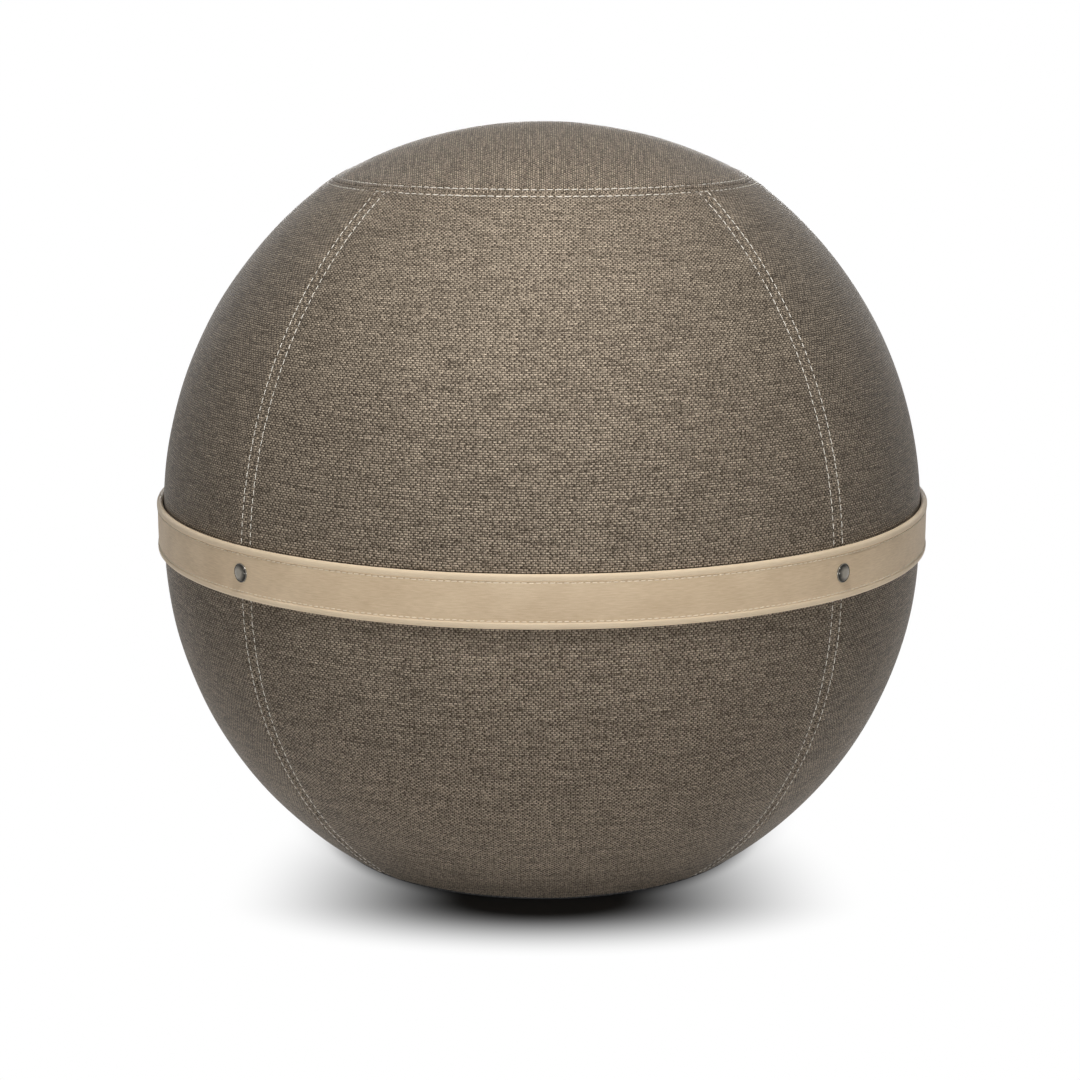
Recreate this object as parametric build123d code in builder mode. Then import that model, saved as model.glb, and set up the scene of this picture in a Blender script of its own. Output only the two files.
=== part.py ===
"""Sitting ball: a zipped, belted fabric cover with a weighted flat base, round an inflated bladder.

Millimetres. The origin is the centre of the base on the floor, +Z is up and the front faces -Y.
Heights are above the floor, radii are from the ball's upright axis. Seams run up the ball at
every quarter turn. The zip lies in the seam at the back right.
"""

import os
from math import asin, cos, degrees, hypot, radians, sin, sqrt

from build123d import *

# Cover: a ball cut off at a flat base, with a straight waist under the belt and a flatter crown
ball_diameter = 550.0
base_diameter = 304.5
waist_height = 17.0
shoulder_radius = 295.0
top_seam_radius = 149.4
crown_rise = 39.5
panel_thickness = 4.0
cloth_thickness = 1.2
base_panel_thickness = 2.5
side_names = ("right", "back", "left", "front")
first_seam_angle = -45.0

# Backing tapes behind the sewn seams
seam_tape_width = 22.0
seam_tape_thickness = 0.5
seam_tape_clearance = 0.35
seam_tape_end_gap = 6.0
seam_tape_ballast_gap = 44.0

# Belt: lining, core and a face with rolled edges
belt_height = 35.5
belt_rise = 6.0
belt_clearance = 0.3
belt_lining_thickness = 0.9
belt_core_thickness = 1.2
belt_face_thickness = 1.6
belt_roll_proud = 0.6
belt_layer_clearance = 0.1
belt_join_angle = 90.0
belt_join_gap = 0.6

# Rivets through belt and cover at the seams
rivet_head_diameter = 13.0
rivet_head_height = 2.9
rivet_rim_height = 0.6
rivet_post_diameter = 3.4
rivet_back_diameter = 10.4
rivet_back_thickness = 1.6
rivet_clearance = 0.1
rivet_recess_clearance = 0.3

# Zip in a back seam, below the belt; seams count from the first one
zip_seam = 1
zip_length = 198.0
zip_belt_gap = 14.0
zip_mouth_width = 12.6
zip_depth = 1.7
zip_tape_width = 12.4
zip_tape_thickness = 0.6
zip_tape_overrun = 9.0
zip_bead_width = 1.0
zip_bead_thickness = 1.8
zip_core_width = 0.9
zip_core_thickness = 1.4
zip_centre_gap = 1.1
tooth_pitch = 3.0
tooth_length = 1.8
tooth_nose_length = 1.0
tooth_reach = 2.1
tooth_thickness = 2.4
zip_stop_length = 3.0
zip_clearance = 0.3
zip_stop_clearance = 0.05

# Zip slider and its pull
slider_width = 10.8
slider_length = 15.0
slider_corner = 2.4
slider_plate_thickness = 1.3
slider_flange_width = 1.0
slider_flange_length = 9.0
slider_fin_width = 0.6
slider_fin_length = 5.0
bridge_length = 8.4
bridge_width = 2.6
bridge_height = 3.2
bridge_slot_length = 3.6
bridge_slot_height = 2.1
bridge_fillet = 1.4
pull_pin_diameter = 1.6
pull_eye_diameter = 2.1
pull_arm_width = 1.6
pull_arm_length = 8.6
pull_length = 30.0
pull_width = 8.4
pull_thickness = 1.6
pull_corner = 2.4
pull_hole_diameter = 3.2
pull_clearance = 0.4

# Ballast ring on the base, round a well for the valve
ballast_height = 24.5
ballast_well_radius = 66.0
ballast_corner = 8.0
ballast_cloth = 1.0
ballast_clearance = 2.0
ballast_fill_clearance = 0.2

# Inflated bladder and its valve
bladder_wall = 1.5
bladder_clearance = 1.1
bladder_seat_clearance = 0.3
bladder_heel_radius = 45.0
valve_bore_diameter = 8.4
valve_tube_diameter = 14.0
valve_tube_length = 16.0
valve_flange_diameter = 30.0
valve_flange_thickness = 1.6
valve_weld_diameter = 24.0
valve_weld_thickness = 1.2
valve_wall_clearance = 0.1
plug_clearance = 0.08
plug_length = 13.0
plug_nose = 1.6
plug_head_diameter = 20.0
plug_head_thickness = 2.2
plug_lug_width = 9.0
plug_lug_thickness = 2.4
plug_lug_height = 3.0
plug_lug_fillet = 1.0

# Shape of the cover
ball_radius = ball_diameter / 2
base_radius = base_diameter / 2
lower_centre_height = sqrt(ball_radius**2 - base_radius**2)
waist_top = lower_centre_height + waist_height
shoulder_axis = ball_radius - shoulder_radius
seam_height = waist_top + sqrt(shoulder_radius**2 - (top_seam_radius - shoulder_axis) ** 2)
crown_radius = (top_seam_radius**2 + crown_rise**2) / (2 * crown_rise)
ball_height = seam_height + crown_rise
crown_centre = ball_height - crown_radius
panel_turn = 360.0 / len(side_names)
seam_angles = [first_seam_angle + panel_turn * i for i in range(len(side_names))]


def lower_radius(inset, height):
    """Radius of the lower ball, drawn in by the inset, at a height."""
    return sqrt((ball_radius - inset) ** 2 - (height - lower_centre_height) ** 2)


def crown_corner(inset):
    """Radius and height where shoulder and crown meet, both drawn in by the inset."""
    shoulder = shoulder_radius - inset
    crown = crown_radius - inset
    across = -shoulder_axis
    up = crown_centre - waist_top
    apart = hypot(across, up)
    along = (shoulder**2 - crown**2 + apart**2) / (2 * apart)
    aside = sqrt(shoulder**2 - along**2)
    middle = Vector(shoulder_axis + along * across / apart, waist_top + along * up / apart)
    step = Vector(-up, across) * (aside / apart)
    seam = Vector(top_seam_radius, seam_height)
    return min(middle + step, middle - step, key=lambda corner: (corner - seam).length)


def meridian(angle):
    """Upright plane through the axis: x is the radius, y the height."""
    turn = radians(angle)
    return Plane(origin=(0, 0, 0), x_dir=(cos(turn), sin(turn), 0), z_dir=(sin(turn), -cos(turn), 0))


def outward(angle, radius, height):
    """Plane that faces out from the axis, with its x along the waist."""
    turn = radians(angle)
    return Plane(
        origin=(radius * cos(turn), radius * sin(turn), height),
        x_dir=(-sin(turn), cos(turn), 0),
        z_dir=(cos(turn), sin(turn), 0),
    )


def side_edges(inset, bottom, top):
    """Lower ball, waist and shoulder, drawn in by the inset, as lines of the open sketch; gives both ends."""
    ball = ball_radius - inset
    shoulder = shoulder_radius - inset
    low = degrees(asin((lower_centre_height - bottom) / ball))
    high = degrees(asin((top - waist_top) / shoulder))
    lower = CenterArc((0, lower_centre_height), ball, -low, low)
    Line((ball, lower_centre_height), (ball, waist_top))
    upper = CenterArc((shoulder_axis, waist_top), shoulder, 0, high)
    return lower @ 0, upper @ 1


def crown_edge(inset, radius):
    """Crown from a radius to the axis, drawn in by the inset."""
    rise = degrees(asin(radius / (crown_radius - inset)))
    CenterArc((0, crown_centre), crown_radius - inset, 90 - rise, rise)


def wall_edges(outer, inner, bottom, outer_top, inner_top):
    """Closed outline of a wall between two insets, from the bottom up to the top of each face."""
    outer_ends = side_edges(outer, bottom, outer_top)
    inner_ends = side_edges(inner, bottom, inner_top)
    Line(outer_ends[0], inner_ends[0])
    Line(outer_ends[1], inner_ends[1])


# Belt stack, from the cover outwards
belt_middle = lower_centre_height + waist_height / 2 + belt_rise
belt_bottom = belt_middle - belt_height / 2
belt_top = belt_middle + belt_height / 2
belt_inside = ball_radius + belt_clearance
belt_lining_outside = belt_inside + belt_lining_thickness
belt_core_outside = belt_lining_outside + belt_core_thickness
belt_front = belt_core_outside + belt_face_thickness
belt_roll_radius = (belt_front + belt_roll_proud - belt_inside) / 2
belt_inner_bottom = belt_bottom + 2 * belt_roll_radius + belt_layer_clearance
belt_inner_height = belt_height - 2 * (2 * belt_roll_radius + belt_layer_clearance)

# Rivet heights on their own axis, measured from the ball's axis
rivet_back_inside = ball_radius - panel_thickness + rivet_clearance
rivet_back_outside = rivet_back_inside + rivet_back_thickness
rivet_hole_radius = rivet_post_diameter / 2 + rivet_clearance
rivet_recess_radius = rivet_back_diameter / 2 + rivet_recess_clearance

# Zip: its angles are measured down from the level of the lower ball's centre
zip_angle = seam_angles[zip_seam]
zip_turn = radians(zip_angle)
zip_out = Vector(cos(zip_turn), sin(zip_turn), 0)
zip_side = Vector(-sin(zip_turn), cos(zip_turn), 0)
zip_centre = Vector(0, 0, lower_centre_height)
zip_axis = Axis(zip_centre, zip_side)
zip_line = ball_radius - zip_depth
zip_top = degrees(asin((lower_centre_height - belt_bottom + zip_belt_gap) / ball_radius))
zip_bottom = zip_top + degrees(zip_length / ball_radius)
zip_overrun = degrees(zip_tape_overrun / ball_radius)
stop_turn = degrees(zip_stop_length / ball_radius)
mouth_top = zip_top - stop_turn - degrees(zip_clearance / ball_radius)
mouth_bottom = zip_bottom + stop_turn + degrees(zip_clearance / ball_radius)
tooth_count = int(zip_length / tooth_pitch) - 1
tooth_step = degrees(tooth_pitch / ball_radius)
tooth_outside = zip_centre_gap / 2 + tooth_reach
core_outside = tooth_outside
bead_outside = core_outside + zip_bead_width
tape_outside = core_outside + zip_tape_width
slider_angle = zip_top + degrees((slider_length / 2 + zip_stop_length) / ball_radius)


def zip_section(angle):
    """Plane across the zip: x runs out from the lower ball's centre, y across the tape."""
    turn = radians(angle)
    return Plane(
        origin=zip_centre,
        x_dir=zip_out * cos(turn) - Vector(0, 0, sin(turn)),
        z_dir=Vector(0, 0, cos(turn)) + zip_out * sin(turn),
    )


def zip_face(angle):
    """Plane on the zip's middle layer: x runs across the tape, y up the zip, z out of the cover."""
    turn = radians(angle)
    normal = zip_out * cos(turn) - Vector(0, 0, sin(turn))
    return Plane(origin=zip_centre + normal * zip_line, x_dir=zip_side, z_dir=normal)


def side_panel(index):
    """One quarter of the cover's side, with its share of the rivet holes and of the zip's mouth."""
    start_angle = seam_angles[index]
    with BuildPart() as panel:
        with BuildSketch(meridian(start_angle)):
            with BuildLine():
                wall_edges(0, panel_thickness, base_panel_thickness, seam_height, seam_corner.Y)
            make_face()
        revolve(axis=Axis.Z, revolution_arc=panel_turn)
        for angle in (start_angle, start_angle + panel_turn):
            with BuildSketch(outward(angle, ball_radius - 2 * panel_thickness, belt_middle)):
                Circle(rivet_hole_radius)
            extrude(amount=3 * panel_thickness, mode=Mode.SUBTRACT)
            with BuildSketch(outward(angle, rivet_back_outside + rivet_clearance, belt_middle)):
                Circle(rivet_recess_radius)
            extrude(amount=-2 * panel_thickness, mode=Mode.SUBTRACT)
        if index in (zip_seam - 1, zip_seam):
            with BuildSketch(zip_section(mouth_top)):
                with Locations((ball_radius, 0)):
                    Rectangle(4 * panel_thickness, zip_mouth_width)
            revolve(axis=zip_axis, revolution_arc=mouth_bottom - mouth_top, mode=Mode.SUBTRACT)
            recess_width = 2 * (tape_outside + zip_clearance)
            with BuildSketch(zip_section(zip_top - 2 * zip_overrun)):
                with Locations((ball_radius - cloth_thickness, 0)):
                    Rectangle(2 * panel_thickness, recess_width, align=(Align.MAX, Align.CENTER))
            recess_turn = zip_bottom - zip_top + 4 * zip_overrun
            revolve(axis=zip_axis, revolution_arc=recess_turn, mode=Mode.SUBTRACT)
    return panel


# Cover panels: the side panels and the crown meet in a mitre
seam_corner = crown_corner(panel_thickness)
side_panels = {f"cover_{name}_panel": side_panel(i) for i, name in enumerate(side_names)}

with BuildPart() as cover_top_panel:
    with BuildSketch(Plane.XZ):
        with BuildLine():
            crown_edge(0, top_seam_radius)
            crown_edge(panel_thickness, seam_corner.X)
            Line((0, ball_height), (0, ball_height - panel_thickness))
            Line((top_seam_radius, seam_height), (seam_corner.X, seam_corner.Y))
        make_face()
    revolve(axis=Axis.Z)

rim_start = degrees(asin(lower_centre_height / ball_radius))
rim_end = degrees(asin((lower_centre_height - base_panel_thickness) / ball_radius))
with BuildPart() as cover_base_panel:
    with BuildSketch(Plane.XZ):
        with BuildLine():
            rim = CenterArc((0, lower_centre_height), ball_radius, -rim_start, rim_start - rim_end)
            Polyline(rim @ 0, (0, 0), (0, base_panel_thickness), rim @ 1)
        make_face()
    revolve(axis=Axis.Z)

# Backing tapes: a ring behind the top seam, and a strip behind each side seam down to the ballast or the zip
ballast_top = base_panel_thickness + ballast_height
tape_outer_inset = panel_thickness + seam_tape_clearance
tape_inner_inset = tape_outer_inset + seam_tape_thickness


def ring_tape_edges(inset):
    """Both arms of the ring tape on one of its faces, as lines of the open sketch; gives both ends."""
    corner = crown_corner(inset)
    shoulder = shoulder_radius - inset
    crown = crown_radius - inset
    climb = degrees(asin((corner.Y - waist_top) / shoulder))
    lean = degrees(asin(corner.X / crown))
    arm = degrees(seam_tape_width / 2 / shoulder)
    lower_arm = CenterArc((shoulder_axis, waist_top), shoulder, climb - arm, arm)
    arm = degrees(seam_tape_width / 2 / crown)
    upper_arm = CenterArc((0, crown_centre), crown, 90 - lean, arm)
    return lower_arm @ 0, upper_arm @ 1


with BuildPart() as seam_tape_top:
    with BuildSketch(Plane.XZ):
        with BuildLine():
            outer_ends = ring_tape_edges(tape_outer_inset)
            inner_ends = ring_tape_edges(tape_inner_inset)
            Line(outer_ends[0], inner_ends[0])
            Line(outer_ends[1], inner_ends[1])
        make_face()
    revolve(axis=Axis.Z)

side_tape_top = outer_ends[0].Y - seam_tape_end_gap
side_tape_bottom = ballast_top + seam_tape_ballast_gap
with BuildPart() as seam_tapes_side:
    for seam in seam_angles:
        with BuildSketch(meridian(seam)):
            with BuildLine():
                wall_edges(tape_outer_inset, tape_inner_inset, side_tape_bottom, side_tape_top, side_tape_top)
            make_face()
        extrude(amount=seam_tape_width / 2, both=True)
    with BuildSketch(meridian(zip_angle)):
        Rectangle(ball_radius, waist_top, align=Align.MIN)
    extrude(amount=seam_tape_width, both=True, mode=Mode.SUBTRACT)

# Belt
with BuildPart() as belt_lining:
    with BuildSketch(Plane.XZ):
        with Locations((belt_inside, belt_inner_bottom)):
            Rectangle(belt_lining_thickness, belt_inner_height, align=Align.MIN)
    revolve(axis=Axis.Z)
    for seam in seam_angles:
        with BuildSketch(outward(seam, ball_radius, belt_middle)):
            Circle(rivet_hole_radius)
        extrude(amount=belt_front, mode=Mode.SUBTRACT)

with BuildPart() as belt_core:
    with BuildSketch(Plane.XZ):
        with Locations((belt_lining_outside, belt_inner_bottom)):
            Rectangle(belt_core_thickness, belt_inner_height, align=Align.MIN)
    revolve(axis=Axis.Z)
    for seam in seam_angles:
        with BuildSketch(outward(seam, ball_radius, belt_middle)):
            Circle(rivet_hole_radius)
        extrude(amount=belt_front, mode=Mode.SUBTRACT)

join_turn = degrees(belt_join_gap / belt_front)
with BuildPart() as belt_face:
    with BuildSketch(meridian(belt_join_angle + join_turn / 2)):
        with Locations((belt_core_outside, belt_bottom + belt_roll_radius)):
            Rectangle(belt_face_thickness, belt_height - 2 * belt_roll_radius, align=Align.MIN)
        roll_axis = belt_inside + belt_roll_radius
        with Locations((roll_axis, belt_bottom + belt_roll_radius), (roll_axis, belt_top - belt_roll_radius)):
            Circle(belt_roll_radius)
    revolve(axis=Axis.Z, revolution_arc=360 - join_turn)
    for seam in seam_angles:
        with BuildSketch(outward(seam, ball_radius, belt_middle)):
            Circle(rivet_hole_radius)
        extrude(amount=belt_front, mode=Mode.SUBTRACT)

# Rivets: domed heads with their posts outside, backs sunk into the cover's padding inside
head_radius = rivet_head_diameter / 2
post_end = rivet_back_inside + rivet_clearance
with BuildPart() as rivet_head:
    with BuildSketch(Plane.XZ):
        with BuildLine():
            Line((0, 0), (head_radius, 0))
            Line((head_radius, 0), (head_radius, rivet_rim_height))
            dome_rise = rivet_head_height - rivet_rim_height
            dome_radius = (head_radius**2 + dome_rise**2) / (2 * dome_rise)
            dome_turn = degrees(asin(head_radius / dome_radius))
            CenterArc((0, rivet_head_height - dome_radius), dome_radius, 90 - dome_turn, dome_turn)
            Line((0, rivet_head_height), (0, 0))
        make_face()
    revolve(axis=Axis.Z)
    with BuildSketch(Plane.XY):
        Circle(rivet_post_diameter / 2)
    extrude(amount=post_end - belt_front)

with BuildPart() as rivet_caps:
    with Locations(*[outward(seam, belt_front, belt_middle).location for seam in seam_angles]):
        add(rivet_head.part)

with BuildPart() as rivet_backs:
    for seam in seam_angles:
        with BuildSketch(outward(seam, rivet_back_inside, belt_middle)):
            Circle(rivet_back_diameter / 2)
            Circle(rivet_hole_radius, mode=Mode.SUBTRACT)
        extrude(amount=rivet_back_thickness)

# Zip tapes, each with a bead along its inner edge
tape_span = zip_bottom - zip_top + 2 * zip_overrun


def zip_tape(side):
    """Tape on one side of the zip: side is 1 towards the back panel, -1 towards the right panel."""
    with BuildPart() as tape:
        with BuildSketch(zip_section(zip_top - zip_overrun)):
            with Locations((zip_line, side * (core_outside + tape_outside) / 2)):
                Rectangle(zip_tape_thickness, zip_tape_width)
        revolve(axis=zip_axis, revolution_arc=tape_span)
        with BuildSketch(zip_section(zip_top - stop_turn)):
            with Locations((zip_line, side * (core_outside + bead_outside) / 2)):
                Rectangle(zip_bead_thickness, zip_bead_width)
        revolve(axis=zip_axis, revolution_arc=zip_bottom - zip_top + 2 * stop_turn)
    return tape


def zip_row(side):
    """Row of teeth on one side: tapered teeth on a core that lies against the tape's bead."""
    first = zip_top + tooth_step * (0.75 + 0.25 * side)
    with BuildPart() as row:
        with BuildSketch(zip_section(zip_top)):
            with Locations((zip_line, side * (core_outside - zip_core_width / 2))):
                Rectangle(zip_core_thickness, zip_core_width)
        revolve(axis=zip_axis, revolution_arc=zip_bottom - zip_top)
        with BuildSketch(*[zip_face(first + tooth_step * i) for i in range(tooth_count)]):
            with BuildLine():
                nose = side * zip_centre_gap / 2
                shoulder = side * (zip_centre_gap / 2 + tooth_reach / 3)
                heel = side * (core_outside - zip_core_width / 2)
                Polyline(
                    (nose, tooth_nose_length / 2),
                    (shoulder, tooth_length / 2),
                    (heel, tooth_length / 2),
                    (heel, -tooth_length / 2),
                    (shoulder, -tooth_length / 2),
                    (nose, -tooth_nose_length / 2),
                    close=True,
                )
            make_face()
        extrude(amount=tooth_thickness / 2, both=True)
    return row


zip_tape_back = zip_tape(1)
zip_tape_right = zip_tape(-1)
zip_teeth_back = zip_row(1)
zip_teeth_right = zip_row(-1)

# Stops: one on each row at the top, and one across both rows at the bottom
stop_width = tooth_outside - zip_stop_clearance - zip_centre_gap / 2
with BuildPart() as zip_stops:
    for side in (1, -1):
        with BuildSketch(zip_section(zip_top - stop_turn)):
            with Locations((zip_line, side * (zip_centre_gap + stop_width) / 2)):
                Rectangle(tooth_thickness, stop_width)
        revolve(axis=zip_axis, revolution_arc=stop_turn)
    with BuildSketch(zip_section(zip_bottom)):
        with Locations((zip_line, 0)):
            Rectangle(tooth_thickness, 2 * (tooth_outside - zip_stop_clearance))
    revolve(axis=zip_axis, revolution_arc=stop_turn)

# Slider: two plates round the rows, joined by a fin between them, with a bridge for the pull
plate_inside = tooth_thickness / 2 + zip_clearance
plate_outside = plate_inside + slider_plate_thickness
flange_tip = zip_tape_thickness / 2 + zip_clearance
pin_height = plate_outside + zip_clearance + bridge_slot_height / 2
pin_drop = bridge_slot_length / 4
slider_plane = zip_face(slider_angle)
with BuildPart() as zip_slider:
    for face in (1, -1):
        with BuildSketch(slider_plane.offset(face * plate_inside)):
            RectangleRounded(slider_width, slider_length, slider_corner)
        extrude(amount=face * slider_plate_thickness)
        with BuildSketch(slider_plane.offset(face * flange_tip)):
            rail = (slider_width - slider_flange_width) / 2
            with Locations((rail, 0), (-rail, 0)):
                Rectangle(slider_flange_width, slider_flange_length)
        extrude(amount=face * (plate_inside - flange_tip + slider_plate_thickness / 2))
    with BuildSketch(slider_plane):
        with Locations((0, slider_length / 2 - slider_fin_length)):
            Rectangle(slider_fin_width, slider_fin_length)
    extrude(amount=plate_inside + slider_plate_thickness / 2, both=True)
    bridge_plane = Plane(
        origin=slider_plane.origin,
        x_dir=slider_plane.y_dir,
        z_dir=slider_plane.x_dir,
    )
    with BuildSketch(bridge_plane):
        bridge_foot = plate_outside - slider_plate_thickness / 2
        bridge_rise = bridge_height + slider_plate_thickness / 2
        with Locations((0, bridge_foot)):
            Rectangle(bridge_length, bridge_rise, align=(Align.CENTER, Align.MIN))
        fillet(vertices().group_by(Axis.Y)[-1], radius=bridge_fillet)
        with Locations((0, pin_height)):
            SlotOverall(bridge_slot_length, bridge_slot_height, mode=Mode.SUBTRACT)
    extrude(amount=bridge_width / 2, both=True)

# Pull: hangs from a pin in the bridge's slot
pin_centre = slider_plane.from_local_coords((0, -pin_drop, pin_height))
pull_side = Plane(origin=pin_centre, x_dir=(0, 0, 1), z_dir=zip_side)
pull_front = Plane(origin=pin_centre, x_dir=zip_side, z_dir=zip_out)
arm_inside = bridge_width / 2 + pull_clearance
arm_outside = arm_inside + pull_arm_width
with BuildPart() as zip_pull:
    for start in (arm_inside, -arm_outside):
        with BuildSketch(pull_side.offset(start)):
            Circle(pull_eye_diameter / 2)
            Rectangle(pull_arm_length, pull_thickness, align=(Align.MAX, Align.CENTER))
        extrude(amount=pull_arm_width)
    with BuildSketch(pull_side):
        Circle(pull_pin_diameter / 2)
    extrude(amount=arm_inside + pull_arm_width / 2, both=True)
    tab_length = pull_length - pull_arm_length + pull_corner
    with BuildSketch(pull_front):
        with Locations((0, -pull_length + tab_length / 2)):
            RectangleRounded(pull_width, tab_length, pull_corner)
        with Locations((0, -pull_length + pull_width / 2)):
            Circle(pull_hole_diameter / 2, mode=Mode.SUBTRACT)
    extrude(amount=pull_thickness / 2, both=True)

# Ballast ring: a flat base cloth, a top cloth with rounded eaves and the fill between them
ballast_seam = base_panel_thickness + ballast_cloth
ballast_outside = lower_radius(panel_thickness, base_panel_thickness) - ballast_clearance


def ballast_section(inset):
    """Section of the ring above its base cloth, drawn in by the inset."""
    width = ballast_outside - ballast_well_radius - 2 * inset
    height = ballast_top - ballast_seam - inset
    with BuildSketch(Plane.XZ) as section:
        with Locations((ballast_well_radius + inset, ballast_seam)):
            Rectangle(width, height, align=Align.MIN)
        fillet(vertices().group_by(Axis.Y)[-1], radius=ballast_corner - inset)
    return section.sketch


with BuildPart() as ballast_pouch_base:
    with BuildSketch(Plane.XY.offset(base_panel_thickness)):
        Circle(ballast_outside)
        Circle(ballast_well_radius, mode=Mode.SUBTRACT)
    extrude(amount=ballast_cloth)

with BuildPart() as ballast_pouch_top:
    revolve(ballast_section(0), axis=Axis.Z)
    revolve(ballast_section(ballast_cloth), axis=Axis.Z, mode=Mode.SUBTRACT)

with BuildPart() as ballast_fill:
    revolve(ballast_section(ballast_cloth + ballast_fill_clearance), axis=Axis.Z)

# Bladder: fills the cover, flat where it rests on the ballast, open only at the valve
bladder_bottom = ballast_top + bladder_seat_clearance
bladder_floor = bladder_bottom + bladder_wall
bladder_inset = panel_thickness + bladder_clearance


def bladder_section(inset, bottom, heel):
    """Filled half section of the bladder, drawn in by the inset, with a rounded heel above its flat."""
    corner = crown_corner(inset)
    with BuildSketch(Plane.XZ) as section:
        with BuildLine():
            ends = side_edges(inset, bottom, corner.Y)
            crown_edge(inset, corner.X)
            Polyline((0, ball_height - inset), (0, bottom), ends[0])
        make_face()
        fillet(vertices().group_by(Axis.Y)[0].sort_by(Axis.X)[-1], radius=heel)
    return section.sketch


with BuildPart() as bladder:
    revolve(bladder_section(bladder_inset, bladder_bottom, bladder_heel_radius), axis=Axis.Z)
    bladder_inside = bladder_section(
        bladder_inset + bladder_wall, bladder_floor, bladder_heel_radius - bladder_wall
    )
    revolve(bladder_inside, axis=Axis.Z, mode=Mode.SUBTRACT)
    with BuildSketch(Plane.XY.offset(bladder_bottom)):
        Circle(valve_tube_diameter / 2 + valve_wall_clearance)
    extrude(amount=bladder_wall, mode=Mode.SUBTRACT)

# Valve seat, welded through the bladder's floor, and the plug that closes it from below
seat_bottom = bladder_bottom - valve_flange_thickness
with BuildPart() as valve_seat:
    with BuildSketch(Plane.XY.offset(seat_bottom)):
        Circle(valve_flange_diameter / 2)
    extrude(amount=valve_flange_thickness)
    with BuildSketch(Plane.XY.offset(seat_bottom)):
        Circle(valve_tube_diameter / 2)
    extrude(amount=valve_tube_length)
    with BuildSketch(Plane.XY.offset(bladder_floor)):
        Circle(valve_weld_diameter / 2)
    extrude(amount=valve_weld_thickness)
    with BuildSketch(Plane.XY.offset(seat_bottom)):
        Circle(valve_bore_diameter / 2)
    extrude(amount=valve_tube_length, mode=Mode.SUBTRACT)

plug_radius = valve_bore_diameter / 2 - plug_clearance
plug_bottom = seat_bottom - plug_head_thickness
with BuildPart() as valve_plug:
    with BuildSketch(Plane.XZ):
        with BuildLine():
            Polyline(
                (0, plug_bottom),
                (plug_head_diameter / 2, plug_bottom),
                (plug_head_diameter / 2, seat_bottom),
                (plug_radius, seat_bottom),
                (plug_radius, seat_bottom + plug_length - plug_nose),
                (plug_radius - plug_nose, seat_bottom + plug_length),
                (0, seat_bottom + plug_length),
                close=True,
            )
        make_face()
    revolve(axis=Axis.Z)
    with BuildSketch(Plane.XZ):
        with Locations((0, plug_bottom)):
            Rectangle(plug_lug_width, plug_lug_height, align=(Align.CENTER, Align.MAX))
        fillet(vertices().group_by(Axis.Y)[0], radius=plug_lug_fillet)
    extrude(amount=plug_lug_thickness / 2, both=True)

pieces = {
    "cover_top_panel": cover_top_panel,
    **side_panels,
    "cover_base_panel": cover_base_panel,
    "seam_tape_top": seam_tape_top,
    "seam_tapes_side": seam_tapes_side,
    "belt_face": belt_face,
    "belt_core": belt_core,
    "belt_lining": belt_lining,
    "rivet_caps": rivet_caps,
    "rivet_backs": rivet_backs,
    "zip_tape_back": zip_tape_back,
    "zip_tape_right": zip_tape_right,
    "zip_teeth_back": zip_teeth_back,
    "zip_teeth_right": zip_teeth_right,
    "zip_stops": zip_stops,
    "zip_slider": zip_slider,
    "zip_pull": zip_pull,
    "bladder": bladder,
    "valve_seat": valve_seat,
    "valve_plug": valve_plug,
    "ballast_pouch_top": ballast_pouch_top,
    "ballast_pouch_base": ballast_pouch_base,
    "ballast_fill": ballast_fill,
}
os.makedirs("parts", exist_ok=True)
for name, piece in pieces.items():
    piece.part.label = name
    export_step(piece.part, f"parts/{name}.step")
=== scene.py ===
"""Looks of the sitting ball: sewn cloth panels, stitched belt, rivets and zip, round the packed frame.

Metres, +Z up, the front faces -Y. The cover is drawn on a half section of the ball: t runs up that
section from the base to the top seam, s is a distance from a seam, and a height is measured out
from the cloth's own face. Angles turn round the upright axis from +X. f is the form that ball_form
gives, with the sizes.
"""

from math import asin, pi, radians, sqrt
from types import SimpleNamespace

import bpy
import numpy as np
from bpy.props import FloatProperty, FloatVectorProperty, PointerProperty
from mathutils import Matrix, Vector


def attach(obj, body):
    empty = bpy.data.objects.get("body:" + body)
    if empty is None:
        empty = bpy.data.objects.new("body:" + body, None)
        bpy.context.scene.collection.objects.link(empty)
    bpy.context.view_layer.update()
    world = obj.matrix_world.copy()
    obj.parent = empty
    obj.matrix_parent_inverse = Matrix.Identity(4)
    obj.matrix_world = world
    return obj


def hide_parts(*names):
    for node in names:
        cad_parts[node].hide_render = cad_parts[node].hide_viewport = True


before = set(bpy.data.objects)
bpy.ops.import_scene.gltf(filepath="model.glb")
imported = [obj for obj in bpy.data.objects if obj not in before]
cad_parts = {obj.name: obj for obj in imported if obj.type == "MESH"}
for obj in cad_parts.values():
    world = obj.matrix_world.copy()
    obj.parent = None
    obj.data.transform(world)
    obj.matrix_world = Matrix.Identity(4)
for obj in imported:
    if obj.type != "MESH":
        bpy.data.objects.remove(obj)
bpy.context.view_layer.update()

bl_info = {
    "name": "Sitting ball",
    "version": (1, 0, 0),
    "blender": (4, 5, 0),
    "location": "3D View > Sidebar > Sitting ball",
    "description": "Sewn cover, stitched belt, rivets and zip of a sitting ball",
    "category": "Add Mesh",
}

MM = 0.001
BODY = "ball"
# Side panels by angle, the seam where the first starts, the width of one and the number of the zip's seam
SIDES = ("right", "back", "left", "front")
FIRST_SEAM = radians(-45)
QUARTER = radians(90)
ZIP_SEAM = 1
# Cloth: depth of a turned-in edge, swing of the groove at needle holes, columns between two seams
TURN_IN = 3 * MM
HOLE_SHARE = 0.45
PANEL_COLUMNS = 60
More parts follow.
